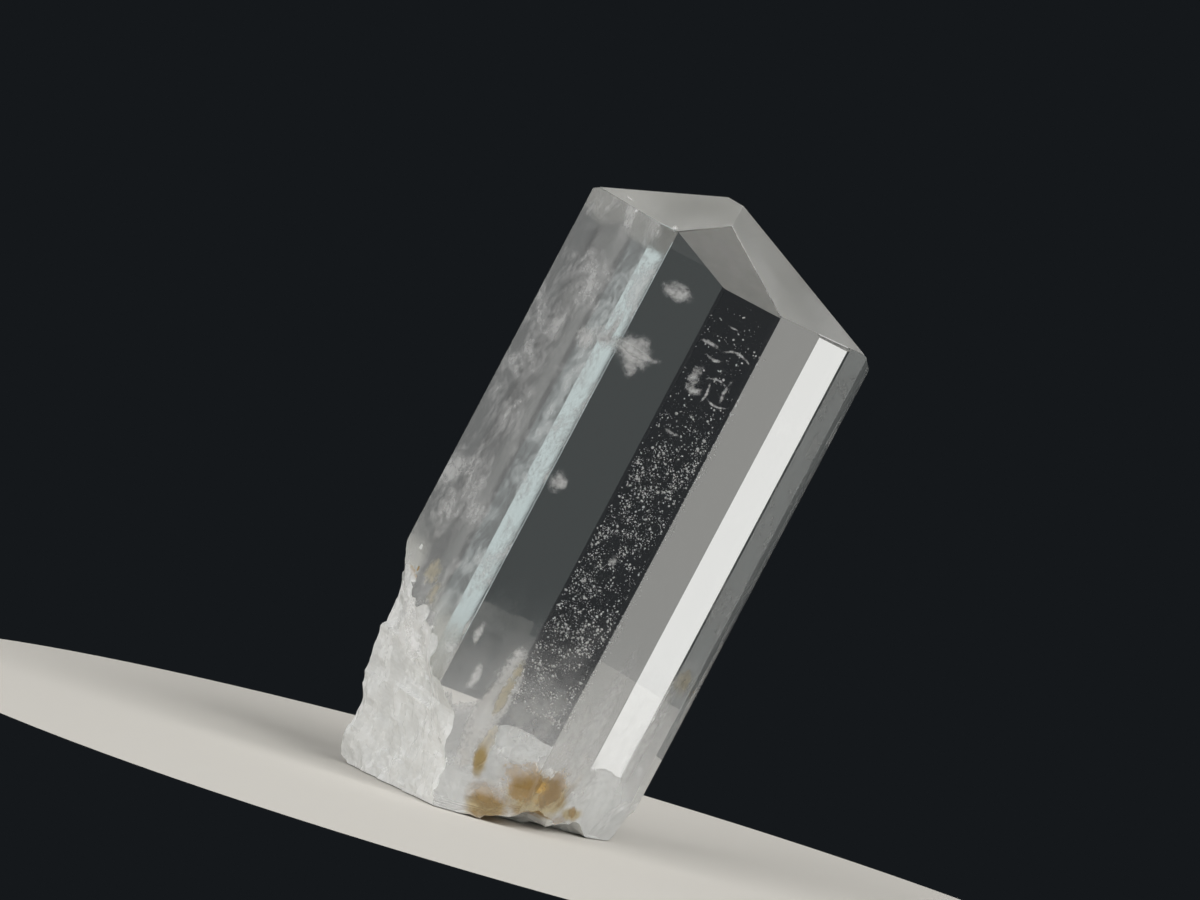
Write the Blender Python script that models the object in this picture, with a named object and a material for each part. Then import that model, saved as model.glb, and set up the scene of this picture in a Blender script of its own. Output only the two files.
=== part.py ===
"""A loose phenakite crystal: a clear trigonal prism with a low pointed tip, broken at its lower end.

Metres, +Z up. The crystal stands on its broken end, which is cut off flat, with its long axis leaning to +X.
The origin is on the ground, below the middle of the crystal's bounding box. -Y is the side with the clear
front face.
"""

import math

import bmesh
import bpy
from mathutils import Matrix, Vector, noise

MM = 0.001

# How the crystal stands
LEAN = math.radians(12.0)  # its long axis from upright, towards +X
FOOT_LEVEL = -11.73 * MM  # the ground, measured from the top of the front right face after the lean

# The prism. Azimuths are in degrees round the long axis: 0 faces the front and 90 the right. Distances are
# from the axis to each face. The last face is a narrow one along the left front edge.
TURN = -1.5
PRISM_FACES = (
    (0.0, 2.737 * MM),
    (60.0, 2.479 * MM),
    (79.0, 3.05 * MM),
    (120.0, 3.66 * MM),
    (150.0, 3.072 * MM),
    (180.0, 2.819 * MM),
    (210.0, 2.469 * MM),
    (240.0, 3.31 * MM),
    (300.0, 2.623 * MM),
    (304.0, 2.682 * MM),
)

# The tip. The axial ratio of phenakite gives the slopes of its steep and its blunt rhombohedron. Heights are
# where each face's plane meets the axis, from the top of the front right face.
AXIAL_RATIO = 0.6611
STEEP = AXIAL_RATIO * 2.0 / math.sqrt(3.0)
BLUNT = STEEP / 2.0
TIP_FACES = (
    (300.0, STEEP, 2.58 * MM),
    (60.0, STEEP, 1.96 * MM),
    (180.0, STEEP, 2.07 * MM),
    (120.0, BLUNT, 1.21 * MM),
    (240.0, BLUNT, 1.76 * MM),
)

BLANK_SIZE = 40.0 * MM  # the block that the faces are cut from
FACET_STEP = 0.20 * MM  # size of the small facets on broken surfaces
SCOOP_SIZE = 0.95 * MM  # spacing of the small scoops on them
MEAN_LEVEL = 0.5  # usual level of a scoop, as a share of the roughness
CELL_MIDDLE = Vector((0.5, 0.5, 0.5))  # where in a cell of the noise its value is read

# The broken end: shell-shaped scoops, cut off flat at the ground. Each is its place on the ground from the
# axis foot, the level of its deepest point and its radius of curvature, in mm.
END_HALF = 5.0 * MM
END_SCOOPS = (
    (0.5, -2.8, 0.16, 2.2),  # under the front face
    (1.7, -2.2, 0.46, 1.9),  # three in a row under the front right face
    (2.3, -0.9, 0.38, 1.3),
    (2.65, 0.3, 0.20, 1.1),
    (4.1, 1.1, 0.95, 0.6),  # right corner
    (0.6, 4.8, 2.6, 2.6),  # the large one that rises to the back face
    (-1.2, 3.6, 2.4, 1.5),  # beside it, under the back left face
    (3.0, 2.7, 1.3, 1.2),
)
END_ROUGHNESS = 0.12 * MM
UNCUT_LEVEL = -0.4 * MM  # where no scoop reaches, the break is below the ground

# The break down the left edge, in its own plane: across the break towards the back, along the crystal, and
# inwards. Each step is a place along the crystal, the depth there and how the depth grows across, in mm.
CORNER_AZIMUTH = 290.0
CORNER_HALF_WIDTH = 3.2 * MM
CORNER_TOP = -5.0 * MM
CORNER_BOTTOM = -14.6 * MM
CORNER_REACH = 2.93 * MM  # from the axis to the unbroken edge, along the break's azimuth
CORNER_STEPS = (
    (-5.0, -0.30, 0.0),
    (-5.6, -0.10, 0.0),
    (-6.6, -0.04, 0.0),
    (-7.2, 0.04, 0.0),
    (-8.15, 0.24, 0.0),
    (-9.0, 0.55, 0.0),
    (-9.6, 0.65, -0.03),
    (-10.2, 0.98, -0.155),
    (-11.2, 1.30, -0.155),
    (-12.3, 1.47, -0.155),
    (-14.6, 1.90, -0.155),
)
CORNER_ROUGHNESS = 0.16 * MM
CORNER_SMOOTH_END = -6.2  # the break is even above this place and rough at CORNER_FADE below it
CORNER_FADE = 1.5

# Depth of the blocks that cut the breaks, and the seeds of their scoops
END_CUT_DEPTH = 12.0 * MM
CORNER_CUT_DEPTH = 4.0 * MM
END_SEED = 2.0
CORNER_SEED = 8.0


def outward(azimuth):
    """Level unit vector that a face of this azimuth looks along."""
    angle = math.radians(azimuth + TURN)
    return Vector((math.sin(angle), -math.cos(angle), 0.0))


def clear_scene():
    for obj in list(bpy.data.objects):
        bpy.data.objects.remove(obj)


def new_object(name, bm, parent=None):
    """An object that holds this bmesh, with its faces pointing out."""
    bmesh.ops.recalc_face_normals(bm, faces=bm.faces)
    mesh = bpy.data.meshes.new(name)
    bm.to_mesh(mesh)
    bm.free()
    obj = bpy.data.objects.new(name, mesh)
    obj.parent = parent
    bpy.context.scene.collection.objects.link(obj)
    return obj


def slice_off(bm, point, normal):
    """Cuts away what lies beyond a plane and closes the cut with one flat face."""
    geometry = list(bm.verts) + list(bm.edges) + list(bm.faces)
    cut = bmesh.ops.bisect_plane(
        bm, geom=geometry, dist=1e-9, plane_co=point, plane_no=normal, clear_outer=True
    )
    rim = [item for item in cut["geom_cut"] if isinstance(item, bmesh.types.BMEdge)]
    bmesh.ops.contextual_create(bm, geom=rim)


def crystal_blank():
    """The unbroken crystal, one flat face for each growth face, with a long lower end."""
    bm = bmesh.new()
    bmesh.ops.create_cube(bm, size=BLANK_SIZE)
    for azimuth, distance in PRISM_FACES:
        slice_off(bm, outward(azimuth) * distance, outward(azimuth))
    for azimuth, slope, height in TIP_FACES:
        normal = (outward(azimuth) * slope + Vector((0.0, 0.0, 1.0))).normalized()
        slice_off(bm, Vector((0.0, 0.0, height)), normal)
    return bm


def displaced_block(half_x, y_low, y_high, thickness, height_at):
    """A block over a rectangle whose upper side is a grid of small facets at the height that is given."""
    columns = max(2, round(2.0 * half_x / FACET_STEP))
    rows = max(2, round((y_high - y_low) / FACET_STEP))
    bm = bmesh.new()
    grid = []
    for i in range(columns + 1):
        x = half_x * (2.0 * i / columns - 1.0)
        line = []
        for j in range(rows + 1):
            y = y_low + (y_high - y_low) * j / rows
            line.append(bm.verts.new((x, y, height_at(x, y))))
        grid.append(line)
    for i in range(columns):
        for j in range(rows):
            a, b, c, d = grid[i][j], grid[i + 1][j], grid[i + 1][j + 1], grid[i][j + 1]
            if (i + j) % 2:
                bm.faces.new((a, b, c))
                bm.faces.new((a, c, d))
            else:
                bm.faces.new((a, b, d))
                bm.faces.new((b, c, d))
    top = list(bm.faces)
    skirt = bmesh.ops.extrude_face_region(bm, geom=top)
    lower = [item for item in skirt["geom"] if isinstance(item, bmesh.types.BMVert)]
    for vert in lower:
        vert.co.z = -thickness
    return bm


def small_scoops(x, y, size, depth, seed):
    """Height of a surface covered with shell-shaped scoops of about this size, with ridges between them."""
    cell_x = math.floor(x / size)
    cell_y = math.floor(y / size)
    highest = -1.0
    for i in range(cell_x - 1, cell_x + 2):
        for j in range(cell_y - 1, cell_y + 2):
            cell = Vector((i, j, seed)) + CELL_MIDDLE
            centre_x = i + noise.cell(cell)
            centre_y = j + noise.cell(cell + Vector((0.0, 0.0, 1.0)))
            level = noise.cell(cell + Vector((0.0, 0.0, 2.0)))
            away = (x / size - centre_x) ** 2 + (y / size - centre_y) ** 2
            highest = max(highest, level - away)
    return depth * (highest - MEAN_LEVEL)


def end_height(x, y):
    """Level of the broken end over a place on the ground. It is never below the ground."""
    level = UNCUT_LEVEL
    for centre_x, centre_y, top, radius in END_SCOOPS:
        away = (x / MM - centre_x) ** 2 + (y / MM - centre_y) ** 2
        level = max(level, (top - away / (2.0 * radius)) * MM)
    level += small_scoops(x, y, SCOOP_SIZE, END_ROUGHNESS, END_SEED)
    return max(level, 0.0)


def corner_depth(across, along):
    """How far the break down the left edge goes in from the unbroken edge."""
    place = min(along / MM, CORNER_STEPS[0][0])
    depth, tilt = CORNER_STEPS[-1][1:]
    for upper, lower in zip(CORNER_STEPS, CORNER_STEPS[1:]):
        if upper[0] >= place >= lower[0]:
            share = (upper[0] - place) / (upper[0] - lower[0])
            depth = upper[1] + (lower[1] - upper[1]) * share
            tilt = upper[2] + (lower[2] - upper[2]) * share
            break
    fade = min(1.0, max(0.0, (CORNER_SMOOTH_END - place) / CORNER_FADE))
    rough = small_scoops(across, along, SCOOP_SIZE, CORNER_ROUGHNESS, CORNER_SEED) * fade
    return depth * MM + tilt * across + rough


def add_cutter(crystal, cutter):
    """Takes the cutter's shape out of the crystal."""
    cutter.hide_render = True
    cutter.display_type = "WIRE"
    cut = crystal.modifiers.new(cutter.name, "BOOLEAN")
    cut.operation = "DIFFERENCE"
    cut.solver = "EXACT"
    cut.object = cutter


def end_cutter():
    """Everything below the broken end, with the ground as its flat part."""
    bm = displaced_block(END_HALF, -END_HALF, END_HALF, END_CUT_DEPTH, end_height)
    return new_object("end_cutter", bm)


def corner_cutter(lean):
    """Everything outside the break down the left edge."""
    middle = (CORNER_TOP + CORNER_BOTTOM) / 2.0

    def height_at(across, along):
        return corner_depth(across, along + middle)

    half_length = (CORNER_TOP - CORNER_BOTTOM) / 2.0
    bm = displaced_block(CORNER_HALF_WIDTH, -half_length, half_length, CORNER_CUT_DEPTH, height_at)
    inward = -outward(CORNER_AZIMUTH)
    up = Vector((0.0, 0.0, 1.0))
    across = up.cross(inward)
    turn = Matrix((across, up, inward)).transposed().to_4x4()
    place = Matrix.Translation(-inward * CORNER_REACH + up * middle)
    bm.transform(place @ turn)
    return new_object("corner_cutter", bm, lean)


def phenakite():
    """Clear, colourless, with a bright glassy surface."""
    material = bpy.data.materials.new("phenakite")
    material.use_nodes = True
    shader = material.node_tree.nodes["Principled BSDF"]
    shader.inputs["Base Color"].default_value = (0.93, 0.94, 0.95, 1.0)
    shader.inputs["Roughness"].default_value = 0.08
    shader.inputs["Metallic"].default_value = 0.0
    shader.inputs["IOR"].default_value = 1.66
    shader.inputs["Transmission Weight"].default_value = 0.9
    return material


def set_on_origin(crystal, moved):
    """Moves these objects so that the middle of the crystal's box is over the origin."""
    bpy.context.view_layer.update()
    graph = bpy.context.evaluated_depsgraph_get()
    shape = crystal.evaluated_get(graph)
    mesh = shape.to_mesh()
    points = [shape.matrix_world @ vert.co for vert in mesh.vertices]
    shape.to_mesh_clear()
    for axis in (0, 1):
        values = [point[axis] for point in points]
        middle = (min(values) + max(values)) / 2.0
        for obj in moved:
            obj.location[axis] -= middle


def main():
    clear_scene()
    lean = bpy.data.objects.new("lean", None)
    lean.rotation_euler = (0.0, LEAN, 0.0)
    lean.location = (-FOOT_LEVEL * math.tan(LEAN), 0.0, -FOOT_LEVEL)
    bpy.context.scene.collection.objects.link(lean)

    crystal = new_object("crystal", crystal_blank(), lean)
    crystal.data.materials.append(phenakite())
    end = end_cutter()
    add_cutter(crystal, corner_cutter(lean))
    add_cutter(crystal, end)
    set_on_origin(crystal, (lean, end))


main()
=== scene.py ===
"""The looks of a loose phenakite crystal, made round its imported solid.

A clear trigonal prism with a low pointed tip stands on its rough broken end. The scene is in metres, with
+Z up and -Y towards the camera. Sizes of the crystal are written in millimetres and multiplied by MM.
"""

import math

import bmesh
import bpy
from bpy.props import FloatProperty, FloatVectorProperty, IntProperty, PointerProperty
from mathutils import Matrix, Vector, noise


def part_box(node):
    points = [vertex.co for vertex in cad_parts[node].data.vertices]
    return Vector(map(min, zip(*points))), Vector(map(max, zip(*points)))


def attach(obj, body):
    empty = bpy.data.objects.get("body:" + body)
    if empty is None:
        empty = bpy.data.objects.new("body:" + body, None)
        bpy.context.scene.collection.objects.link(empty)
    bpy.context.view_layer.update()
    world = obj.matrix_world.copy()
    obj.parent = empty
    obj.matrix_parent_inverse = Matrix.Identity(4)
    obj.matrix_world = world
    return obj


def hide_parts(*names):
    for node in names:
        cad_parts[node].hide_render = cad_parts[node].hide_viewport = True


bl_info = {
    "name": "Phenakite crystal",
    "version": (1, 0, 0),
    "blender": (4, 5, 0),
    "location": "3D View > Sidebar > Phenakite",
    "description": "A clear crystal with a broken end, its inner flecks and veils, and a plain stage",
    "category": "Add Mesh",
}

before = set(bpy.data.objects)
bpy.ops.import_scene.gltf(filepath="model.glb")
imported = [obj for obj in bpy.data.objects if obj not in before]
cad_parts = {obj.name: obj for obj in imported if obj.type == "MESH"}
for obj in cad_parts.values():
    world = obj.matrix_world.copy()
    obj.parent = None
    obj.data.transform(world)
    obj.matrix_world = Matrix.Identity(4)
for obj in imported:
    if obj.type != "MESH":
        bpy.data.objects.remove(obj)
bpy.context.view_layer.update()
NODE = "crystal"
BODY = "root"

MM = 0.001
UP = Vector((0.0, 0.0, 1.0))

# How the crystal stands
LEAN = math.radians(12.0)
FOOT_LEVEL = -11.73

# The prism: azimuth in degrees round the long axis, 0 facing the front and 90 the right, distance in mm
# from the axis, and the finish of the face. The whole crystal is turned a little about its axis.
TURN = -1.5
PRISM_FACES = (
    (0.0, 2.737, "clear"),
    (60.0, 2.479, "clear"),
    (79.0, 3.05, "clear"),
    (120.0, 3.66, "clear"),
    (150.0, 3.072, "clear"),
    (180.0, 2.819, "clear"),
    (210.0, 2.469, "clear"),
    (240.0, 3.31, "clear"),
    (300.0, 2.623, "etched"),
    (304.0, 2.682, "etched"),
)

# The tip: azimuth, slope, and height in mm where the face meets the axis
AXIAL_RATIO = 0.6611
STEEP = AXIAL_RATIO * 2.0 / math.sqrt(3.0)
BLUNT = STEEP / 2.0
TIP_FACES = (
    (300.0, STEEP, 2.58),
    (60.0, STEEP, 1.96),
    (180.0, STEEP, 2.07),
    (120.0, BLUNT, 1.21),
    (240.0, BLUNT, 1.76),
)
TIP_TOP = 1.9  # level of the highest point on the axis, in mm
BLANK_SIZE = 40.0
LONG_EDGE = 10.0  # only edges along the prism rise by more than this, in mm
CUT_TOLERANCE = 1e-9

# Edges farther back than this, in mm from the axis, are rounded wider. Each group has its times the usual
# width, and its segments.
BACK_EDGE_START = 1.9
EDGE_GROUPS = (("back", 5.0, 6), ("tip", 1.5, 3), ("front", 1.0, 2))
SHARP_EDGE = 0.0002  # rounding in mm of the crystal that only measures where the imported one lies

# The broken end: each scoop has its place from the axis foot, the level of its highest point and its
# radius of curvature, in mm
END_HALF = 5.0
END_SCOOPS = (
    (0.5, -2.8, 0.16, 2.2),  # under the front face
    (1.7, -2.2, 0.46, 1.9),  # three in a row under the front right face
    (2.3, -0.9, 0.38, 1.3),
    (2.65, 0.3, 0.20, 1.1),
    (4.1, 1.1, 0.95, 0.6),  # right corner
    (0.6, 4.8, 2.6, 2.6),  # the large one that rises to the back face
    (-1.2, 3.6, 2.4, 1.5),  # beside it, under the back left face
    (3.0, 2.7, 1.3, 1.2),
)
UNCUT_LEVEL = -0.4
SCOOP_SIZE = 0.95
END_ROUGHNESS = 0.12

# The break down the left edge: each step has its place along the crystal and its depth in mm, and how
# much deeper it gets for each mm across
CORNER_AZIMUTH = 290.0
CORNER_HALF_WIDTH = 3.2
CORNER_TOP = -5.0
CORNER_BOTTOM = -14.6
CORNER_REACH = 2.93
CORNER_STEPS = (
    (-5.0, -0.30, 0.0),
    (-5.6, -0.10, 0.0),
    (-6.6, -0.04, 0.0),
    (-7.2, 0.04, 0.0),
    (-8.15, 0.24, 0.0),
    (-9.0, 0.55, 0.0),
    (-9.6, 0.65, -0.03),
    (-10.2, 0.98, -0.155),
    (-11.2, 1.30, -0.155),
    (-12.3, 1.47, -0.155),
    (-14.6, 1.90, -0.155),
)
CORNER_ROUGHNESS = 0.16
CORNER_SMOOTH_END = -6.2
CORNER_FADE = 1.5
MEAN_LEVEL = 0.5
CELL_MIDDLE = Vector((0.5, 0.5, 0.5))
END_CUT_DEPTH = 12.0
CORNER_CUT_DEPTH = 4.0
END_SEED = 2.0
CORNER_SEED = 8.0
END_FINE_SEED = 30.0
CORNER_FINE_SEED = 50.0
FINE_SEED_STEP = 20.0

# Rust in the surfaces by the break: middle in the crystal's own frame and half sizes, in mm
RUST = (
    ((-2.75, -0.6, -8.05), (0.40, 2.0, 0.34)),
    ((0.57, 0.0, -11.60), (0.50, 7.0, 0.34)),
    ((1.45, -2.2, -10.95), (0.80, 1.6, 0.56)),
    ((2.25, -1.4, -11.05), (0.28, 1.2, 0.18)),
    ((0.02, 0.0, -10.80), (0.16, 6.0, 0.46)),
)

# The patch of flecks: how far in front of the axis it lies, its middle and half size across and along the
# front face, how far a fleck may lie in front of it and behind it, the size of their clusters, and the
# levels where there are few of them and many, all in mm
FLECK_LAYER = 2.35
FLECK_ACROSS = (0.60, 0.61)
FLECK_ALONG = (-4.9, 4.6)
FLECK_DEPTH = (-0.22, 0.30)
FLECK_CLUSTER = 0.26
FLECK_FEW_LEVEL = 9.6
FLECK_MANY_LEVEL = 7.9
FLECK_STRETCH = (0.4, 1.5)  # smallest and largest, along each of a fleck's axes
FLECK_SPIN = 3.1  # largest turn of a fleck about each axis, in radians
FLECK_GRID = (24, 120)  # cells of the patch, fine enough to carry the clusters
STRETCH_SEED = 7
SIZE_SEED = 8
SPIN_SEED = 9
DEPTH_SEED = 12

# A film's own map and grid, the height and pitch of its ripples, and its cupping the long way
FILM_MAP = "film"
FILM_STEPS = 12
RIPPLE_HEIGHT = 0.12
RIPPLE_PITCH = 1.7
CUP_ALONG = 0.6

# Finer scoops that only the visible surface has: spacing and depth in mm
FINE_SCOOPS = ((0.31, 0.045), (0.13, 0.016))

# Settings that several nodes share
SMOOTH = {"interpolation_type": "SMOOTHSTEP"}
MULTIPLY = {"operation": "MULTIPLY"}
MULTIPLY_ADD = {"operation": "MULTIPLY_ADD"}
SUBTRACT = {"operation": "SUBTRACT"}


def linear(code):
    """The linear colour of an sRGB hex value."""
    values = [int(code[i : i + 2], 16) / 255.0 for i in (1, 3, 5)]
    return tuple(v / 12.92 if v <= 0.04045 else ((v + 0.055) / 1.055) ** 2.4 for v in values)


def add_node(tree, kind, settings=None, **inputs):
    """Adds a node. Settings are its own properties. An input takes a value or another node's output.

    An input is called by its name with _ for a space, or by _ and its number where names repeat.
    """
    node = tree.nodes.new(kind)
    for name, value in (settings or {}).items():
        setattr(node, name, value)
    for name, value in inputs.items():
        key = int(name[1:]) if name[0] == "_" else name.replace("_", " ")
        socket = node.inputs[key]
        if isinstance(value, bpy.types.NodeSocket):
            tree.links.new(value, socket)
        else:
            socket.default_value = value
    return node


def new_material(name):
    """A new node material, its tree, its Principled shader and its output."""
    material = bpy.data.materials.new(name)
    material.use_nodes = True
    tree = material.node_tree
    return material, tree, tree.nodes["Principled BSDF"], tree.nodes["Material Output"]


def clear_body(name):
    """Phenakite as it grew: colourless, see-through, a high refractive index, hardly any absorption."""
    settings = bpy.context.scene.phenakite_finish
    material, tree, shader, output = new_material(name)
    shader.inputs["Base Color"].default_value = (*linear("#FFFFFF"), 1.0)
    shader.inputs["Transmission Weight"].default_value = 1.0
    shader.inputs["IOR"].default_value = settings.refractive_index
    shader.inputs["Roughness"].default_value = 0.015
    inside = add_node(
        tree, "ShaderNodeVolumeAbsorption", Color=(*linear("#F4F5F4"), 1.0), Density=settings.absorption
    )
    tree.links.new(inside.outputs["Volume"], output.inputs["Volume"])
    return material, tree, shader


def stained(tree, place):
    """How rusty each place is, from 0 to 1: ragged blotches round the places where iron got in."""
    ragged = add_node(
        tree, "ShaderNodeTexNoise", Vector=place, Scale=1.0 / (0.32 * MM), Detail=5.0, Roughness=0.65
    )
    rusty = None
    for middle, half_sizes in RUST:
        centre = crystal_frame() @ (Vector(middle) * MM)
        away = add_node(tree, "ShaderNodeVectorMath", SUBTRACT, _0=place, _1=centre)
        scale = [1.0 / (size * MM) for size in half_sizes]
        share = add_node(tree, "ShaderNodeVectorMath", MULTIPLY, _0=away.outputs["Vector"], _1=scale)
        length = add_node(
            tree, "ShaderNodeVectorMath", {"operation": "LENGTH"}, _0=share.outputs["Vector"]
        )
        reach = add_node(
            tree, "ShaderNodeMath", SUBTRACT, _0=length.outputs["Value"], _1=ragged.outputs["Fac"]
        )
        spot = add_node(
            tree, "ShaderNodeMapRange", SMOOTH, Value=reach.outputs["Value"],
            From_Min=0.1, From_Max=0.6, To_Min=1.0, To_Max=0.0,
        ).outputs["Result"]
        if rusty is None:
            rusty = spot
        else:
            rusty = add_node(
                tree, "ShaderNodeMath", {"operation": "MAXIMUM"}, _0=rusty, _1=spot
            ).outputs["Value"]
    return rusty


def growth_face_material():
    """Glassy growth face: nearly a mirror with a faint swell, some frost and rust near the break."""
    material, tree, shader = clear_body("phenakite growth face")
    place = add_node(tree, "ShaderNodeTexCoord").outputs["Object"]
    height = add_node(tree, "ShaderNodeSeparateXYZ", Vector=place).outputs["Z"]
    mist = add_node(
        tree, "ShaderNodeTexNoise", Vector=place, Scale=1.0 / (0.6 * MM), Detail=5.0, Roughness=0.65
    )
    level = add_node(
        tree, "ShaderNodeMath", MULTIPLY_ADD, _0=mist.outputs["Fac"], _1=2.6 * MM, _2=height
    )
    frost = add_node(
        tree, "ShaderNodeMapRange", SMOOTH, Value=level.outputs["Value"],
        From_Min=6.0 * MM, From_Max=2.0 * MM, To_Min=1.0, To_Max=0.76,
    )
    tree.links.new(frost.outputs["Result"], shader.inputs["Transmission Weight"])
    stain = add_node(
        tree, "ShaderNodeMix", {"data_type": "RGBA"}, Factor=stained(tree, place),
        A=(*linear("#FFFFFF"), 1.0), B=(*linear("#CDB27A"), 1.0),
    )
    tree.links.new(stain.outputs["Result"], shader.inputs["Base Color"])
    swell = add_node(tree, "ShaderNodeTexNoise", Vector=place, Scale=1.0 / (1.4 * MM), Detail=2.0)
    bump = add_node(
        tree, "ShaderNodeBump", Height=swell.outputs["Fac"], Strength=0.06, Distance=0.02 * MM
    )
    tree.links.new(bump.outputs["Normal"], shader.inputs["Normal"])
    return material


def etched_face_material():
    """Growth face with natural etching: cloudy frosted patches over a clear face, soft and mottled."""
    material, tree, shader = clear_body("phenakite etched face")
    place = add_node(tree, "ShaderNodeTexCoord").outputs["Object"]
    broad = add_node(
        tree, "ShaderNodeTexNoise", Vector=place, Scale=1.0 / (0.95 * MM), Detail=5.0, Roughness=0.62,
        Distortion=0.4,
    )
    fine = add_node(
        tree, "ShaderNodeTexNoise", Vector=place, Scale=1.0 / (0.17 * MM), Detail=5.0, Roughness=0.72
    )
    clouds = add_node(
        tree, "ShaderNodeMath", MULTIPLY_ADD, _0=fine.outputs["Fac"], _1=0.45, _2=broad.outputs["Fac"]
    )
    cloud = clouds.outputs["Value"]
    dull = add_node(
        tree, "ShaderNodeMapRange", SMOOTH, Value=cloud,
        From_Min=0.60, From_Max=0.86, To_Min=0.08, To_Max=0.26,
    )
    tree.links.new(dull.outputs["Result"], shader.inputs["Roughness"])
    frost = add_node(
        tree, "ShaderNodeMapRange", SMOOTH, Value=cloud,
        From_Min=0.66, From_Max=0.96, To_Min=1.0, To_Max=0.58,
    )
    tree.links.new(frost.outputs["Result"], shader.inputs["Transmission Weight"])
    # Etch pits are taken to be a few hundredths of a millimetre wide, and drawn coarser so that they show
    grain = add_node(
        tree, "ShaderNodeTexNoise", Vector=place, Scale=1.0 / (0.08 * MM), Detail=4.0, Roughness=0.7
    )
    bump = add_node(
        tree, "ShaderNodeBump", Height=grain.outputs["Fac"], Strength=0.15, Distance=0.01 * MM
    )
    tree.links.new(bump.outputs["Normal"], shader.inputs["Normal"])
    return material


def tip_face_material():
    """Tip face dulled by fine natural etching: an even satin, densest towards the shoulders."""
    material, tree, shader = clear_body("phenakite satin tip face")
    shader.inputs["Roughness"].default_value = 0.5
    place = add_node(tree, "ShaderNodeTexCoord").outputs["Object"]
    apex = crystal_frame() @ (UP * TIP_TOP * MM)
    away = add_node(tree, "ShaderNodeVectorMath", {"operation": "DISTANCE"}, _0=place, _1=apex)
    dense = add_node(
        tree, "ShaderNodeMapRange", SMOOTH, Value=away.outputs["Value"],
        From_Min=0.4 * MM, From_Max=3.4 * MM, To_Min=0.98, To_Max=0.85,
    )
    mottle = add_node(tree, "ShaderNodeTexNoise", Vector=place, Scale=1.0 / (1.1 * MM), Detail=4.0)
    patches = add_node(
        tree, "ShaderNodeMapRange", SMOOTH, Value=mottle.outputs["Fac"],
        From_Min=0.36, From_Max=0.64, To_Min=1.02, To_Max=0.96,
    )
    clear = add_node(
        tree, "ShaderNodeMath", MULTIPLY, _0=dense.outputs["Result"], _1=patches.outputs["Result"]
    )
    tree.links.new(clear.outputs["Value"], shader.inputs["Transmission Weight"])
    # The pits that make the satin are too fine to show. The roughness stands for them, and this for waviness.
    grain = add_node(
        tree, "ShaderNodeTexNoise", Vector=place, Scale=1.0 / (0.25 * MM), Detail=4.0, Roughness=0.6
    )
    bump = add_node(
        tree, "ShaderNodeBump", Height=grain.outputs["Fac"], Strength=0.12, Distance=0.02 * MM
    )
    tree.links.new(bump.outputs["Normal"], shader.inputs["Normal"])
    return material


def broken_face_material():
    """Shell-like fracture through clear crystal: frosty white, glinting, rust brown where iron got in."""
    material, tree, shader = clear_body("phenakite fracture")
    place = add_node(tree, "ShaderNodeTexCoord").outputs["Object"]
    stain = add_node(
        tree, "ShaderNodeMix", {"data_type": "RGBA"}, Factor=stained(tree, place),
        A=(*linear("#FBFCFB"), 1.0), B=(*linear("#A8843E"), 1.0),
    )
    tree.links.new(stain.outputs["Result"], shader.inputs["Base Color"])
    veil = add_node(
        tree, "ShaderNodeTexNoise", Vector=place, Scale=1.0 / (0.8 * MM), Detail=4.0, Roughness=0.55
    )
    clear = add_node(
        tree, "ShaderNodeMapRange", SMOOTH, Value=veil.outputs["Fac"],
        From_Min=0.34, From_Max=0.66, To_Min=0.22, To_Max=0.02,
    )
    tree.links.new(clear.outputs["Result"], shader.inputs["Transmission Weight"])
    dull = add_node(
        tree, "ShaderNodeMapRange", SMOOTH, Value=veil.outputs["Fac"],
        From_Min=0.34, From_Max=0.66, To_Min=0.08, To_Max=0.36,
    )
    tree.links.new(dull.outputs["Result"], shader.inputs["Roughness"])
    # The finest steps of the fracture are too fine to show, so they are drawn at about a tenth of a mm
    grain = add_node(
        tree, "ShaderNodeTexNoise", Vector=place, Scale=1.0 / (0.12 * MM), Detail=4.0, Roughness=0.6
    )
    bump = add_node(
        tree, "ShaderNodeBump", Height=grain.outputs["Fac"], Strength=0.3, Distance=0.02 * MM
    )
    tree.links.new(bump.outputs["Normal"], shader.inputs["Normal"])
    return material


def fleck_material():
    """Tiny mineral flecks shut in behind the front face: white, with a little light through them.

    Their index is low, because only its ratio to the crystal's counts for the light.
    """
    material, _, shader, _ = new_material("white mineral fleck")
    shader.inputs["Base Color"].default_value = (*linear("#FFFFFF"), 1.0)
    shader.inputs["Transmission Weight"].default_value = 0.2
    shader.inputs["IOR"].default_value = 1.2
    shader.inputs["Roughness"].default_value = 0.7
    return material


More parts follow.
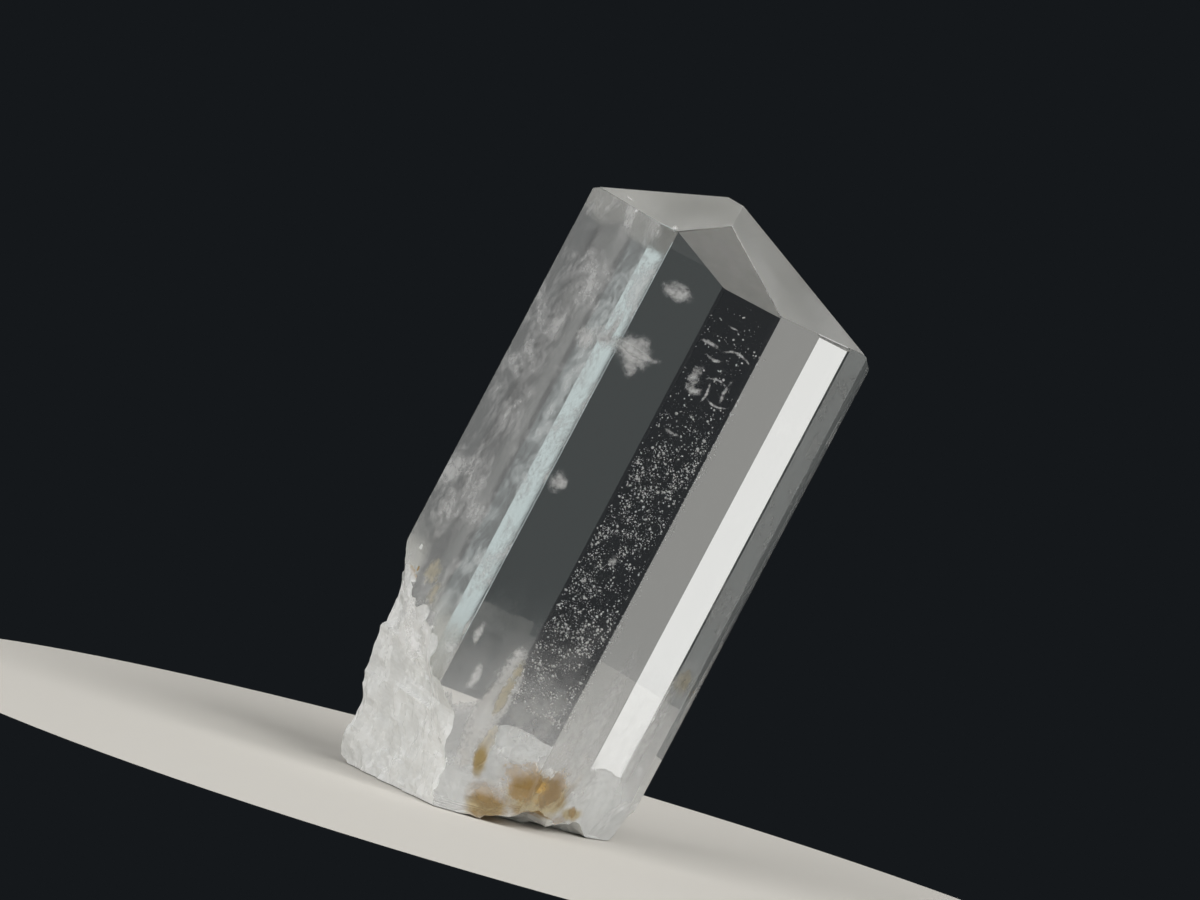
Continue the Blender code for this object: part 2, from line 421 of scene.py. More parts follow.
def veil_material(name, code, strength, grain, low, high):
    """A healed crack: a thin feathery film that scatters white, ragged and thinner towards its rim.

    Grain is the size of its feathers in mm. Low and high are the noise where it begins and where it is
    full. Its index is low, because only its ratio to the crystal's counts for the light.
    """
    material, tree, shader, _ = new_material(name)
    shader.inputs["Base Color"].default_value = (*linear(code), 1.0)
    shader.inputs["Roughness"].default_value = 0.6
    shader.inputs["IOR"].default_value = 1.3
    spot = add_node(tree, "ShaderNodeUVMap", {"uv_map": FILM_MAP}).outputs["UV"]
    middle = add_node(tree, "ShaderNodeVectorMath", {"operation": "LENGTH"}, _0=spot).outputs["Value"]
    thinning = add_node(tree, "ShaderNodeMath", MULTIPLY, _0=middle, _1=middle)
    place = add_node(tree, "ShaderNodeTexCoord").outputs["Object"]
    feather = add_node(
        tree, "ShaderNodeTexNoise", Vector=place, Scale=1.0 / (grain * MM), Detail=6.0, Roughness=0.7
    )
    level = add_node(
        tree, "ShaderNodeMath", MULTIPLY_ADD,
        _0=thinning.outputs["Value"], _1=-0.5, _2=feather.outputs["Fac"],
    )
    ragged = add_node(
        tree, "ShaderNodeMapRange", SMOOTH, Value=level.outputs["Value"],
        From_Min=low, From_Max=high, To_Min=0.0, To_Max=strength,
    )
    rim = add_node(
        tree, "ShaderNodeMapRange", SMOOTH, Value=middle,
        From_Min=0.75, From_Max=1.0, To_Min=1.0, To_Max=0.0,
    )
    alpha = add_node(
        tree, "ShaderNodeMath", MULTIPLY, _0=ragged.outputs["Result"], _1=rim.outputs["Result"]
    )
    tree.links.new(alpha.outputs["Value"], shader.inputs["Alpha"])
    return material


def outward(azimuth):
    """Level unit vector that a face of this azimuth looks along, before the crystal leans."""
    angle = math.radians(azimuth + TURN)
    return Vector((math.sin(angle), -math.cos(angle), 0.0))


def slice_off(bm, point, normal, finish):
    """Cuts away what lies beyond a plane and closes the cut with one flat face of this finish."""
    geometry = list(bm.verts) + list(bm.edges) + list(bm.faces)
    cut = bmesh.ops.bisect_plane(
        bm, geom=geometry, dist=CUT_TOLERANCE, plane_co=point, plane_no=normal, clear_outer=True
    )
    rim = [item for item in cut["geom_cut"] if isinstance(item, bmesh.types.BMEdge)]
    for face in bmesh.ops.contextual_create(bm, geom=rim)["faces"]:
        face.material_index = finish


def crystal_blank(edge_width):
    """The unbroken crystal in its own upright frame, with its sharp edges very slightly rounded."""
    finishes = {"clear": 0, "etched": 1, "satin": 2}
    bm = bmesh.new()
    bmesh.ops.create_cube(bm, size=BLANK_SIZE * MM)
    for azimuth, distance, finish in PRISM_FACES:
        slice_off(bm, outward(azimuth) * distance * MM, outward(azimuth), finishes[finish])
    for azimuth, slope, height in TIP_FACES:
        normal = (outward(azimuth) * slope + UP).normalized()
        slice_off(bm, UP * height * MM, normal, finishes["satin"])
    groups = {"back": [], "front": [], "tip": []}
    for edge in bm.edges:
        first, second = (vert.co for vert in edge.verts)
        if max(first.z, second.z) <= -LONG_EDGE * MM:
            continue  # the blank's lower end, which the break takes away
        if min(first.y, second.y) < BACK_EDGE_START * MM:
            groups["front"].append(edge)
        elif abs(first.z - second.z) > LONG_EDGE * MM:
            groups["back"].append(edge)
        else:
            groups["tip"].append(edge)
    for group, width, segments in EDGE_GROUPS:
        kept = [edge for edge in groups[group] if edge.is_valid]
        bmesh.ops.bevel(
            bm, geom=kept, offset=edge_width * width, segments=segments, profile=0.5, affect="EDGES",
            material=finishes["clear"] if group == "back" else -1,
        )
    bmesh.ops.recalc_face_normals(bm, faces=bm.faces)
    return bm


def small_scoops(x, y, size, depth, seed):
    """Height in mm of a surface covered with shell-shaped scoops of this size, ridges between them."""
    cell_x = math.floor(x / size)
    cell_y = math.floor(y / size)
    highest = -1.0
    for i in range(cell_x - 1, cell_x + 2):
        for j in range(cell_y - 1, cell_y + 2):
            cell = Vector((i, j, seed)) + CELL_MIDDLE
            centre_x = i + noise.cell(cell)
            centre_y = j + noise.cell(cell + UP)
            level = noise.cell(cell + 2.0 * UP)
            away = (x / size - centre_x) ** 2 + (y / size - centre_y) ** 2
            highest = max(highest, level - away)
    return depth * (highest - MEAN_LEVEL)


def fine_break(x, y, seed):
    """What the fine scoops add to a broken surface at a place, in mm."""
    return sum(
        small_scoops(x, y, size, depth, seed + FINE_SEED_STEP * size) for size, depth in FINE_SCOOPS
    )


def end_height(x, y):
    """Level of the broken end over a place on the ground, in mm. It is never below the ground."""
    level = UNCUT_LEVEL
    for centre_x, centre_y, top, radius in END_SCOOPS:
        away = (x - centre_x) ** 2 + (y - centre_y) ** 2
        level = max(level, top - away / (2.0 * radius))
    level += small_scoops(x, y, SCOOP_SIZE, END_ROUGHNESS, END_SEED)
    return max(level + fine_break(x, y, END_FINE_SEED), 0.0)


def corner_depth(across, along):
    """How far in mm the break down the left edge goes in from the unbroken edge."""
    place = min(along, CORNER_STEPS[0][0])
    depth, tilt = CORNER_STEPS[-1][1:]
    for upper, lower in zip(CORNER_STEPS, CORNER_STEPS[1:]):
        if upper[0] >= place >= lower[0]:
            share = (upper[0] - place) / (upper[0] - lower[0])
            depth = upper[1] + (lower[1] - upper[1]) * share
            tilt = upper[2] + (lower[2] - upper[2]) * share
            break
    fade = min(1.0, max(0.0, (CORNER_SMOOTH_END - place) / CORNER_FADE))
    rough = small_scoops(across, along, SCOOP_SIZE, CORNER_ROUGHNESS, CORNER_SEED)
    rough += fine_break(across, along, CORNER_FINE_SEED)
    return depth + tilt * across + rough * fade


def displaced_block(half_x, half_y, step, thickness, height_at):
    """A block whose upper side is a fine grid, at the height that is given for each place. Takes mm."""
    columns = round(2.0 * half_x / step)
    rows = round(2.0 * half_y / step)
    bm = bmesh.new()
    grid = []
    for i in range(columns + 1):
        x = half_x * (2.0 * i / columns - 1.0)
        line = []
        for j in range(rows + 1):
            y = half_y * (2.0 * j / rows - 1.0)
            line.append(bm.verts.new((x * MM, y * MM, height_at(x, y) * MM)))
        grid.append(line)
    for i in range(columns):
        for j in range(rows):
            corners = (grid[i][j], grid[i + 1][j], grid[i + 1][j + 1], grid[i][j + 1])
            turn = (i + j) % 2
            bm.faces.new((corners[turn], corners[turn + 1], corners[turn + 2]))
            bm.faces.new((corners[turn], corners[turn + 2], corners[turn - 1]))
    skirt = bmesh.ops.extrude_face_region(bm, geom=list(bm.faces))
    for item in skirt["geom"]:
        if isinstance(item, bmesh.types.BMVert):
            item.co.z = -thickness * MM
    bmesh.ops.recalc_face_normals(bm, faces=bm.faces)
    return bm


def object_from(name, bm, materials=()):
    """A new object in the scene with this mesh and these materials."""
    mesh = bpy.data.meshes.new(name)
    bm.to_mesh(mesh)
    bm.free()
    for material in materials:
        mesh.materials.append(material)
    obj = bpy.data.objects.new(name, mesh)
    bpy.context.scene.collection.objects.link(obj)
    return obj


def stand_matrix():
    """Turns the crystal's own frame to the way it stands, with the axis foot over the world's origin."""
    place = Matrix.Translation(Vector((-FOOT_LEVEL * math.tan(LEAN), 0.0, -FOOT_LEVEL)) * MM)
    return place @ Matrix.Rotation(LEAN, 4, "Y")


def packed_shift():
    """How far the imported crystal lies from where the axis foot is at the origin.

    Its right side and its front are unbroken, so they are matched with those of an unbroken crystal.
    """
    bm = crystal_blank(SHARP_EDGE * MM)
    bm.transform(stand_matrix())
    above = [vert.co for vert in bm.verts if vert.co.z > 0.0]
    right = max(co.x for co in above)
    front = min(co.y for co in above)
    bm.free()
    low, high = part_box(NODE)
    return Vector((high[0] - right, low[1] - front, 0.0))


def crystal_frame():
    """Matrix from the crystal's own upright frame to where it stands."""
    return Matrix.Translation(packed_shift()) @ stand_matrix()


def flatten_object(obj):
    """The evaluated object as a plain mesh on the same object, with no modifier left."""
    graph = bpy.context.evaluated_depsgraph_get()
    mesh = bpy.data.meshes.new_from_object(obj.evaluated_get(graph))
    obj.modifiers.clear()
    obj.data = mesh


class PhenakiteFinish(bpy.types.PropertyGroup):
    """What a user would change on the crystal itself."""

    edge_width: FloatProperty(
        name="Edge width",
        description="Width of the tiny rounding on the growth edges",
        default=0.014 * MM,
        unit="LENGTH",
    )
    break_step: FloatProperty(
        name="Break detail",
        description="Size of the smallest facets on the broken surfaces, in millimetres",
        default=0.07,
    )
    refractive_index: FloatProperty(
        name="Refractive index", description="Of phenakite, along and across its axis", default=1.66
    )
    absorption: FloatProperty(
        name="Absorption", description="Density of the faint absorption inside", default=10.0
    )


class PhenakiteInside(bpy.types.PropertyGroup):
    """What is shut in the crystal."""

    fleck_density: FloatProperty(
        name="Fleck density",
        description="Flecks to a square millimetre where they are densest",
        default=1300.0,
    )
    fleck_size: FloatProperty(
        name="Fleck size", description="Usual size of one fleck", default=0.020 * MM, unit="LENGTH"
    )
    fleck_seed: IntProperty(name="Fleck seed", description="Seed for where the flecks lie", default=4)


class PhenakiteStage(bpy.types.PropertyGroup):
    """Floor, light and camera."""

    floor_radius: FloatProperty(
        name="Floor radius", description="Radius of the round floor", default=14.0 * MM, unit="LENGTH"
    )
    floor_colour: FloatVectorProperty(
        name="Floor colour", description="Pale warm grey", subtype="COLOR", default=linear("#CCC9C3")
    )
    lens: FloatProperty(
        name="Lens", description="Focal length of the camera in millimetres", default=303.0
    )
    elevation: FloatProperty(
        name="Elevation",
        description="How far the camera looks down",
        default=math.radians(3.0),
        subtype="ANGLE",
    )
    roll: FloatProperty(
        name="Roll",
        description="How far the camera is turned about its view",
        default=math.radians(15.9),
        subtype="ANGLE",
    )


class PHENAKITE_OT_crystal(bpy.types.Operator):
    """Makes the crystal, with its flat growth faces, its broken end and the break down its left edge"""

    bl_idname = "phenakite.crystal"
    bl_label = "Crystal"

    def execute(self, context):
        settings = context.scene.phenakite_finish
        clear = growth_face_material()
        etched = etched_face_material()
        broken = broken_face_material()
        place = crystal_frame()

        bm = crystal_blank(settings.edge_width)
        bm.transform(place)
        crystal = object_from("phenakite_crystal", bm, (clear, etched, tip_face_material()))

        bm = displaced_block(END_HALF, END_HALF, settings.break_step, END_CUT_DEPTH, end_height)
        bm.transform(Matrix.Translation(packed_shift()))
        end = object_from("end cutter", bm, (broken,))

        middle = (CORNER_TOP + CORNER_BOTTOM) / 2.0
        half_length = (CORNER_TOP - CORNER_BOTTOM) / 2.0
        bm = displaced_block(
            CORNER_HALF_WIDTH, half_length, settings.break_step, CORNER_CUT_DEPTH,
            lambda across, along: corner_depth(across, along + middle),
        )
        inward = -outward(CORNER_AZIMUTH)
        turn = Matrix((UP.cross(inward), UP, inward)).transposed().to_4x4()
        bm.transform(place @ Matrix.Translation((-inward * CORNER_REACH + UP * middle) * MM) @ turn)
        corner = object_from("corner cutter", bm, (broken,))

        for cutter in (corner, end):
            cut = crystal.modifiers.new(cutter.name, "BOOLEAN")
            cut.operation = "DIFFERENCE"
            cut.solver = "EXACT"
            cut.material_mode = "TRANSFER"
            cut.object = cutter
        context.view_layer.update()
        flatten_object(crystal)
        for cutter in (corner, end):
            bpy.data.objects.remove(cutter)
        if not crystal.data.polygons:
            raise RuntimeError("the cuts left nothing of the crystal")
        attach(crystal, BODY)
        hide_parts(NODE)
        return {"FINISHED"}


class PHENAKITE_OT_flecks(bpy.types.Operator):
    """Scatters the white flecks in a thin layer behind the front face"""

    bl_idname = "phenakite.flecks"
    bl_label = "Flecks"

    def execute(self, context):
        settings = context.scene.phenakite_inside
        bm = bmesh.new()
        bmesh.ops.create_grid(bm, x_segments=FLECK_GRID[0], y_segments=FLECK_GRID[1], size=1.0)
        side = UP.cross(outward(0.0))
        for vert in bm.verts:
            across = FLECK_ACROSS[0] + FLECK_ACROSS[1] * vert.co.x
            along = FLECK_ALONG[0] + FLECK_ALONG[1] * vert.co.y
            vert.co = (outward(0.0) * FLECK_LAYER + side * across + UP * along) * MM
        bm.transform(crystal_frame())
        flecks = object_from("phenakite_flecks", bm)
        tree = fleck_tree(fleck_material())
        scatter = flecks.modifiers.new("flecks", "NODES")
        scatter.node_group = tree
        names = {item.name: item.identifier for item in tree.interface.items_tree}
        scatter[names["Density"]] = settings.fleck_density / (MM * MM)
        scatter[names["Size"]] = settings.fleck_size
        scatter[names["Seed"]] = settings.fleck_seed
        context.view_layer.update()
        flatten_object(flecks)
        if not flecks.data.polygons:
            raise RuntimeError("no flecks were made")
        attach(flecks, BODY)
        return {"FINISHED"}


def fleck_tree(material):
    """Geometry Nodes: flat irregular flecks on a patch, denser where a noise is high."""
    tree = bpy.data.node_groups.new("flecks", "GeometryNodeTree")
    face = tree.interface
    face.new_socket("Geometry", in_out="INPUT", socket_type="NodeSocketGeometry")
    face.new_socket("Density", in_out="INPUT", socket_type="NodeSocketFloat")
    face.new_socket("Size", in_out="INPUT", socket_type="NodeSocketFloat")
    face.new_socket("Seed", in_out="INPUT", socket_type="NodeSocketInt")
    face.new_socket("Geometry", in_out="OUTPUT", socket_type="NodeSocketGeometry")
    given = add_node(tree, "NodeGroupInput").outputs
    place = add_node(tree, "GeometryNodeInputPosition").outputs["Position"]
    cluster = add_node(
        tree, "ShaderNodeTexNoise", Vector=place, Scale=1.0 / (FLECK_CLUSTER * MM), Detail=4.0,
        Roughness=0.7,
    )
    clustered = add_node(
        tree, "ShaderNodeMapRange", SMOOTH, Value=cluster.outputs["Fac"],
        From_Min=0.43, From_Max=0.66, To_Min=0.02, To_Max=1.0,
    )
    height = add_node(tree, "ShaderNodeSeparateXYZ", Vector=place).outputs["Z"]
    lower = add_node(
        tree, "ShaderNodeMapRange", SMOOTH, Value=height,
        From_Min=FLECK_FEW_LEVEL * MM, From_Max=FLECK_MANY_LEVEL * MM, To_Min=0.12, To_Max=1.0,
    )
    dense = add_node(
        tree, "ShaderNodeMath", MULTIPLY, _0=clustered.outputs["Result"], _1=lower.outputs["Result"]
    )
    density = add_node(
        tree, "ShaderNodeMath", MULTIPLY, _0=dense.outputs["Value"], _1=given["Density"]
    )
    points = add_node(
        tree, "GeometryNodeDistributePointsOnFaces", Mesh=given["Geometry"],
        Density=density.outputs["Value"], Seed=given["Seed"],
    )
    fleck = add_node(tree, "GeometryNodeMeshIcoSphere", Radius=0.5, Subdivisions=1)
    smallest, largest = FLECK_STRETCH
    shape = add_node(
        tree, "FunctionNodeRandomValue", {"data_type": "FLOAT_VECTOR"}, Seed=STRETCH_SEED,
        _0=(smallest, smallest, smallest), _1=(largest, largest, largest),
    ).outputs[0]
    # Most flecks are near the smallest size, and a few are up to four times as large
    chance = add_node(
        tree, "FunctionNodeRandomValue", {"data_type": "FLOAT"}, Seed=SIZE_SEED
    ).outputs[1]
    rare = add_node(tree, "ShaderNodeMath", {"operation": "POWER"}, _0=chance, _1=4.0).outputs["Value"]
    times = add_node(tree, "ShaderNodeMath", MULTIPLY_ADD, _0=rare, _1=2.2, _2=0.7).outputs["Value"]
    size = add_node(tree, "ShaderNodeMath", MULTIPLY, _0=times, _1=given["Size"]).outputs["Value"]
    scale = add_node(tree, "ShaderNodeVectorMath", {"operation": "SCALE"}, _0=shape, Scale=size)
    spin = add_node(
        tree, "FunctionNodeRandomValue", {"data_type": "FLOAT_VECTOR"}, Seed=SPIN_SEED,
        _0=(-FLECK_SPIN, -FLECK_SPIN, -FLECK_SPIN), _1=(FLECK_SPIN, FLECK_SPIN, FLECK_SPIN),
    )
    copies = add_node(
        tree, "GeometryNodeInstanceOnPoints", Points=points.outputs["Points"],
        Instance=fleck.outputs["Mesh"], Rotation=spin.outputs[0], Scale=scale.outputs["Vector"],
    )
    nearest, farthest = FLECK_DEPTH
    depth = add_node(
        tree, "FunctionNodeRandomValue", {"data_type": "FLOAT_VECTOR"}, Seed=DEPTH_SEED,
        _0=(0.0, nearest * MM, 0.0), _1=(0.0, farthest * MM, 0.0),
    )
    spread = add_node(
        tree, "GeometryNodeSetPosition", Geometry=copies.outputs["Instances"], Offset=depth.outputs[0]
    )
    real = add_node(tree, "GeometryNodeRealizeInstances", Geometry=spread.outputs["Geometry"])
    done = add_node(
        tree, "GeometryNodeSetMaterial", Geometry=real.outputs["Geometry"], Material=material
    )
    add_node(tree, "NodeGroupOutput", Geometry=done.outputs["Geometry"])
    return tree


# Healed cracks and clouds inside. Each has its middle in the crystal's own frame, its half sizes, the
# azimuth and slope of its film, how much it is cupped, and how much its long way bends. Sizes are in mm
# and angles in degrees.
CLOUDS = (
    ((-1.12, -2.50, -1.98), (0.56, 0.48), 0.0, 0.0, 0.2, 0.1),  # the star at the front left edge
    ((-1.02, -2.46, -2.20), (0.20, 0.42), 0.0, 0.0, 0.1, 0.2),
    ((-0.98, -2.52, -1.98), (0.62, 0.12), 0.0, 0.0, 0.1, 0.3),
    ((-1.66, -2.18, -2.02), (0.60, 0.32), 302.0, 0.0, 0.1, 0.3),
    ((-1.62, -2.24, -1.72), (0.20, 0.46), 302.0, 0.0, 0.1, 0.2),
    ((-2.05, -1.55, -2.25), (0.62, 0.34), 300.0, 0.0, 0.1, 0.2),
    ((-0.88, -2.20, -0.50), (0.44, 0.26), 0.0, 0.0, 0.2, 0.1),
    ((-1.22, -2.30, -5.05), (0.24, 0.32), 10.0, 0.0, 0.1, 0.0),
    ((-1.22, -2.10, -8.55), (0.12, 0.34), 0.0, 0.0, 0.1, 0.4),
    ((-0.84, -2.00, -9.40), (0.14, 0.42), 0.0, 0.0, 0.1, -0.4),
)
WISPS = (
    ((0.48, -2.1, -0.62), (0.20, 0.035), 0.0, 0.0, 0.3, 0.2),
    ((0.20, -2.1, -1.10), (0.36, 0.07), 5.0, 0.0, 0.3, -0.5),
    ((0.82, -2.1, -1.04), (0.44, 0.05), 5.0, 0.0, 0.3, -0.9),
    ((0.42, -2.0, -1.38), (0.26, 0.06), 0.0, 0.0, 0.4, 0.8),
    ((0.22, -2.0, -1.86), (0.20, 0.36), 12.0, 0.0, 0.4, 0.3),
    ((0.34, -2.1, -2.12), (0.30, 0.16), 0.0, 0.0, 0.4, 0.5),
    ((0.72, -2.0, -1.70), (0.42, 0.05), 0.0, 0.0, 0.4, -1.2),
    ((0.92, -2.1, -1.86), (0.07, 0.34), 0.0, 0.0, 0.4, 0.4),
    ((0.88, -2.1, -2.20), (0.34, 0.05), 0.0, 0.0, 0.4, 0.9),
    ((0.62, -2.0, -2.05), (0.05, 0.32), 0.0, 0.0, 0.4, -0.6),
    ((0.36, -2.1, -3.10), (0.26, 0.06), -8.0, 0.0, 0.4, 0.7),
    ((0.52, -2.1, -5.95), (0.12, 0.20), -8.0, 0.0, 0.4, 0.4),
    ((-1.52, -2.55, 0.62), (0.12, 0.11), 345.0, 0.0, 0.1, 0.0),  # small ones under the tip
    ((-2.40, -1.30, 0.55), (0.08, 0.07), 310.0, 0.0, 0.1, 0.0),
    ((-2.62, -1.00, 0.70), (0.24, 0.03), 310.0, 0.0, 0.1, 0.3),
)
CRACKS = (
    ((-0.26, -1.7, -9.75), (0.42, 1.80), 5.0, 6.0, 1.0, 0.1),  # the upright one in the middle
    ((-0.18, -1.3, -9.90), (0.26, 1.20), 20.0, -8.0, 0.9, 0.0),
    ((-2.20, -0.9, -9.10), (0.85, 0.80), 305.0, 15.0, 0.5, 0.0),
    ((-1.10, -0.50, -10.6), (0.80, 0.80), 290.0, 0.0, 0.3, 0.2),
    ((-0.60, -0.60, -10.6), (0.85, 0.95), 330.0, -15.0, 0.5, 0.3),
)
HAZES = (
    ((0.60, -0.9, -9.50), (0.80, 1.05), 5.0, 10.0, 0.5, 0.0),
    ((1.60, -0.8, -10.3), (0.95, 0.80), 15.0, 20.0, 0.5, 0.0),
    ((0.40, -0.6, -10.9), (1.30, 0.60), 0.0, 15.0, 0.5, 0.0),
    ((1.72, -1.65, -9.20), (0.55, 2.20), 60.0, 0.0, 0.1, 0.0),  # behind the front right face
    ((2.85, 0.00, -9.20), (0.50, 2.30), 75.0, 0.0, 0.1, 0.0),
)
STAINS = (
    ((1.00, -2.52, -10.80), (0.64, 0.60), 0.0, 5.0, 0.1, 0.0),
    ((1.55, -2.05, -10.72), (0.78, 0.66), 60.0, 0.0, 0.1, 0.0),
    ((2.16, -0.98, -11.02), (0.28, 0.18), 60.0, 0.0, 0.1, 0.0),
    ((0.45, -2.50, -11.40), (0.50, 0.24), 0.0, 0.0, 0.1, 0.0),
)
PALE_STAINS = (
    ((-2.50, -0.48, -8.02), (0.46, 0.40), 300.0, 0.0, 0.1, 0.0),
    ((-2.30, -0.90, -8.40), (0.30, 0.40), 300.0, 0.0, 0.1, 0.0),
    ((-0.14, -1.85, -9.30), (0.15, 1.00), 10.0, 6.0, 0.5, 0.0),
    ((0.00, -1.85, -10.6), (0.20, 0.70), 10.0, 6.0, 0.5, 0.0),
)


def film_sheets(name, films, material):
    """One mesh of small cupped sheets. The film map runs from -1 to 1 across each."""
    bm = bmesh.new()
    layer = bm.loops.layers.uv.new(FILM_MAP)
    for middle, half_sizes, azimuth, slope, cup, bend in films:
        out = outward(azimuth)
        side = UP.cross(out)
        rise = Matrix.Rotation(math.radians(slope), 3, side) @ UP
        normal = side.cross(rise)
        grid = []
        for i in range(FILM_STEPS + 1):
            u = 2.0 * i / FILM_STEPS - 1.0
            line = []
            for j in range(FILM_STEPS + 1):
                v = 2.0 * j / FILM_STEPS - 1.0
                wave = noise.noise(Vector((u * RIPPLE_PITCH, v * RIPPLE_PITCH, middle[2])))
                cupping = cup * (u * u + CUP_ALONG * v * v) / 2.0
                bulge = (cupping + RIPPLE_HEIGHT * wave) * min(half_sizes)
                across = u * half_sizes[0]
                along = v * half_sizes[1]
                if half_sizes[0] > half_sizes[1]:
                    along += bend * half_sizes[0] * u * u / 2.0
                else:
                    across += bend * half_sizes[1] * v * v / 2.0
                co = Vector(middle) + side * across + rise * along + normal * bulge
                line.append((bm.verts.new(co * MM), (u, v)))
            grid.append(line)
        for i in range(FILM_STEPS):
            for j in range(FILM_STEPS):
                corners = (grid[i][j], grid[i + 1][j], grid[i + 1][j + 1], grid[i][j + 1])
                face = bm.faces.new([vert for vert, _ in corners])
                for loop, (_, spot) in zip(face.loops, corners):
                    loop[layer].uv = spot
    bm.transform(crystal_frame())
    sheets = object_from(name, bm, (material,))
    sheets.data.shade_smooth()
    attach(sheets, BODY)


class PHENAKITE_OT_veils(bpy.types.Operator):
    """Makes the cloudy films, wisps, cracks and rusty stains that show inside the crystal"""

    bl_idname = "phenakite.veils"
    bl_label = "Veils"

    def execute(self, context):
        cloud = veil_material("healed crack film", "#FFFFFF", 1.0, 0.22, 0.10, 0.62)
        bright = veil_material("bright crack wisp", "#FFFFFF", 0.9, 0.10, 0.22, 0.62)
        crack = veil_material("open crack film", "#FFFFFF", 1.0, 0.40, 0.12, 0.42)
        haze = veil_material("hazy crack film", "#FAFBFB", 0.5, 0.6, 0.05, 0.60)
        rusty = veil_material("iron stained crack", "#C8A460", 0.95, 0.28, 0.14, 0.48)
        ochre = veil_material("pale ochre crack", "#E6DABA", 0.90, 0.28, 0.12, 0.50)
        film_sheets("phenakite_clouds", CLOUDS, cloud)
        film_sheets("phenakite_wisps", WISPS, bright)
        film_sheets("phenakite_cracks", CRACKS, crack)
        film_sheets("phenakite_hazes", HAZES, haze)
        film_sheets("phenakite_stains", STAINS, rusty)
        film_sheets("phenakite_pale_stains", PALE_STAINS, ochre)
        return {"FINISHED"}


# Soft panels round the crystal: azimuth from straight behind it, positive to the right, elevation, width
# and height in degrees as the crystal sees them, brightness and colour
PANEL_DISTANCE = 300.0 * MM
PANEL_CENTRE = Vector((0.0, 0.0, 7.0)) * MM
FLOOR_DROP = 0.02 * MM
FLOOR_SEGMENTS = 96
PANELS = (
    ("back left", -52.0, 6.0, 26.0, 50.0, 0.89, "#FFFFFC"),
    ("left behind", -27.0, 3.0, 22.0, 56.0, 0.31, "#F6F5EF"),
    ("back right", 46.0, -6.0, 8.0, 56.0, 0.86, "#E8F4F6"),
    ("right behind", 26.0, -6.0, 16.0, 56.0, 0.060, "#EAF4F0"),
    ("right side", 78.0, -4.0, 52.0, 60.0, 0.07, "#F0F4F6"),
    ("left side", -112.0, 10.0, 50.0, 60.0, 0.04, "#F8F7F4"),
    ("front", 180.0, 12.0, 80.0, 60.0, 0.13, "#F6F7F5"),
    ("front left", -168.0, 5.0, 14.0, 40.0, 0.14, "#F6F7F5"),
    ("high front left", -135.0, 38.0, 40.0, 40.0, 3.30, "#FBFAF8"),
    ("high front right", 135.0, 42.0, 40.0, 40.0, 5.60, "#FBFAF8"),
    ("above", 180.0, 85.0, 60.0, 60.0, 0.40, "#FBFAF8"),
)
AIM = Vector((-0.721, 0.0, 7.771)) * MM
CAMERA_DISTANCE = 208.4 * MM


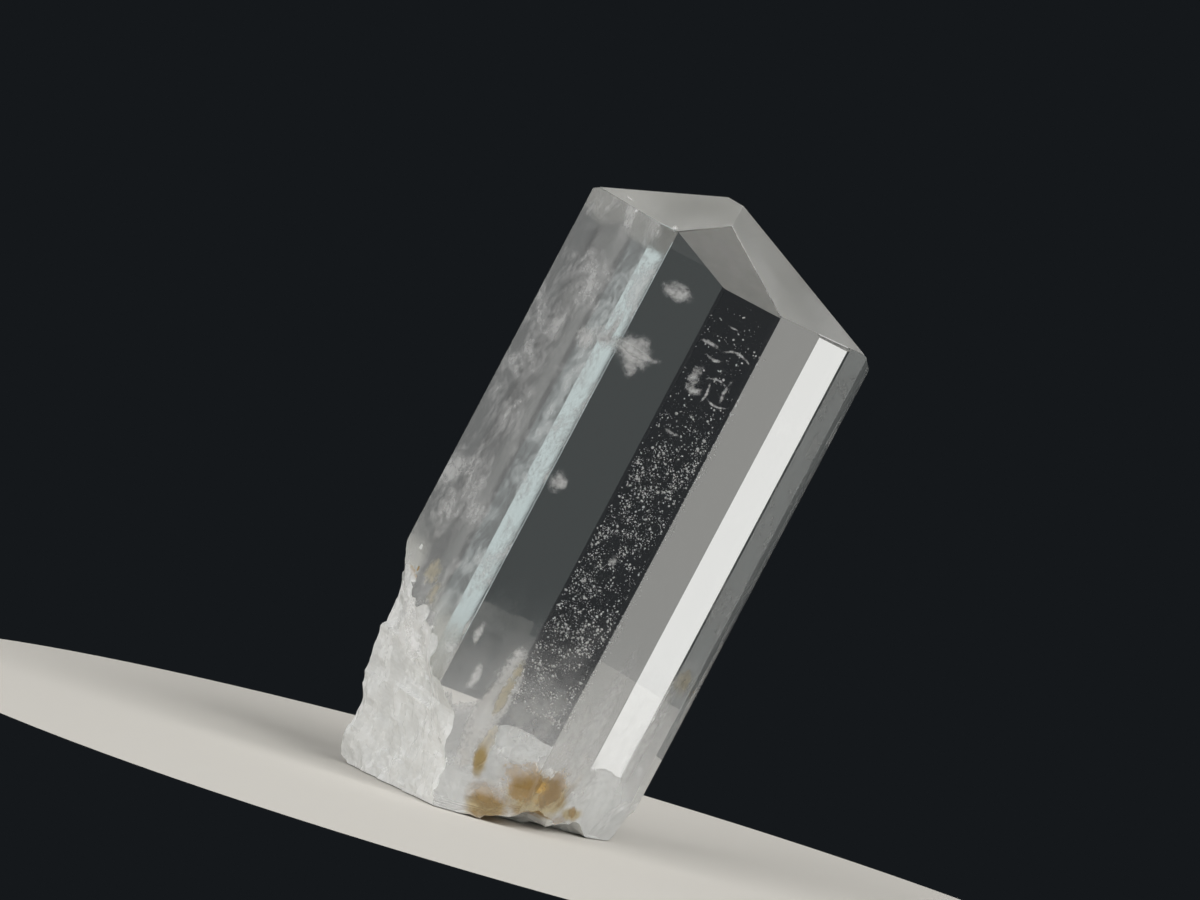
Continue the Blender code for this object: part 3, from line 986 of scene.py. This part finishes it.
class PHENAKITE_OT_stage(bpy.types.Operator):
    """Makes the pale floor, the soft light and the camera"""

    bl_idname = "phenakite.stage"
    bl_label = "Stage"

    def execute(self, context):
        settings = context.scene.phenakite_stage
        material, _, shader, _ = new_material("pale matt floor")
        shader.inputs["Base Color"].default_value = (*settings.floor_colour, 1.0)
        shader.inputs["Roughness"].default_value = 0.9
        bm = bmesh.new()
        bmesh.ops.create_circle(
            bm, cap_ends=True, segments=FLOOR_SEGMENTS, radius=settings.floor_radius
        )
        floor = object_from("floor", bm, (material,))
        floor.location.z = -FLOOR_DROP

        world = bpy.data.worlds.new("dim room")
        world.use_nodes = True
        world.node_tree.nodes["Background"].inputs["Color"].default_value = (*linear("#15181B"), 1.0)
        context.scene.world = world

        for name, azimuth, elevation, width, height, brightness, code in PANELS:
            light = bpy.data.lights.new(name, "AREA")
            light.shape = "RECTANGLE"
            light.size = 2.0 * PANEL_DISTANCE * math.tan(math.radians(width / 2.0))
            light.size_y = 2.0 * PANEL_DISTANCE * math.tan(math.radians(height / 2.0))
            # A flat panel sends out pi times its brightness and its area
            light.energy = brightness * math.pi * light.size * light.size_y
            light.color = linear(code)
            panel = bpy.data.objects.new(name, light)
            context.scene.collection.objects.link(panel)
            a, e = math.radians(azimuth), math.radians(elevation)
            away = Vector((math.sin(a) * math.cos(e), math.cos(a) * math.cos(e), math.sin(e)))
            panel.location = PANEL_CENTRE + away * PANEL_DISTANCE
            panel.rotation_mode = "QUATERNION"
            panel.rotation_quaternion = away.to_track_quat("Z", "Y")

        camera_data = bpy.data.cameras.new("camera")
        camera_data.lens = settings.lens
        camera_data.sensor_width = 36.0
        camera_data.clip_start = 0.001
        camera_data.clip_end = 10.0
        camera = bpy.data.objects.new("camera", camera_data)
        context.scene.collection.objects.link(camera)
        e, r = settings.elevation, settings.roll
        back = Vector((0.0, -math.cos(e), math.sin(e)))
        level = Vector((1.0, 0.0, 0.0))
        upright = back.cross(level)
        right = level * math.cos(r) + upright * math.sin(r)
        up = upright * math.cos(r) - level * math.sin(r)
        camera.matrix_world = Matrix((right, up, back)).transposed().to_4x4()
        camera.location = AIM + back * CAMERA_DISTANCE
        context.scene.camera = camera
        context.scene.view_settings.view_transform = "Standard"
        return {"FINISHED"}


class PHENAKITE_PT_panel(bpy.types.Panel):
    """Lists the settings and the steps"""

    bl_idname = "PHENAKITE_PT_panel"
    bl_label = "Phenakite crystal"
    bl_space_type = "VIEW_3D"
    bl_region_type = "UI"
    bl_category = "Phenakite"

    def draw(self, context):
        scene = context.scene
        for group in (scene.phenakite_finish, scene.phenakite_inside, scene.phenakite_stage):
            box = self.layout.box()
            for name in group.bl_rna.properties.keys():
                if name not in ("rna_type", "name"):
                    box.prop(group, name)
        for step in STEPS:
            self.layout.operator(step.bl_idname)


STEPS = (PHENAKITE_OT_crystal, PHENAKITE_OT_flecks, PHENAKITE_OT_veils, PHENAKITE_OT_stage)
CLASSES = (PhenakiteFinish, PhenakiteInside, PhenakiteStage, *STEPS, PHENAKITE_PT_panel)


def register():
    for item in CLASSES:
        bpy.utils.register_class(item)
    bpy.types.Scene.phenakite_finish = PointerProperty(type=PhenakiteFinish)
    bpy.types.Scene.phenakite_inside = PointerProperty(type=PhenakiteInside)
    bpy.types.Scene.phenakite_stage = PointerProperty(type=PhenakiteStage)


def unregister():
    del bpy.types.Scene.phenakite_stage
    del bpy.types.Scene.phenakite_inside
    del bpy.types.Scene.phenakite_finish
    for item in reversed(CLASSES):
        bpy.utils.unregister_class(item)


def main():
    register()
    bpy.ops.phenakite.crystal()
    bpy.ops.phenakite.flecks()
    bpy.ops.phenakite.veils()
    bpy.ops.phenakite.stage()


if __name__ == "__main__":
    main()
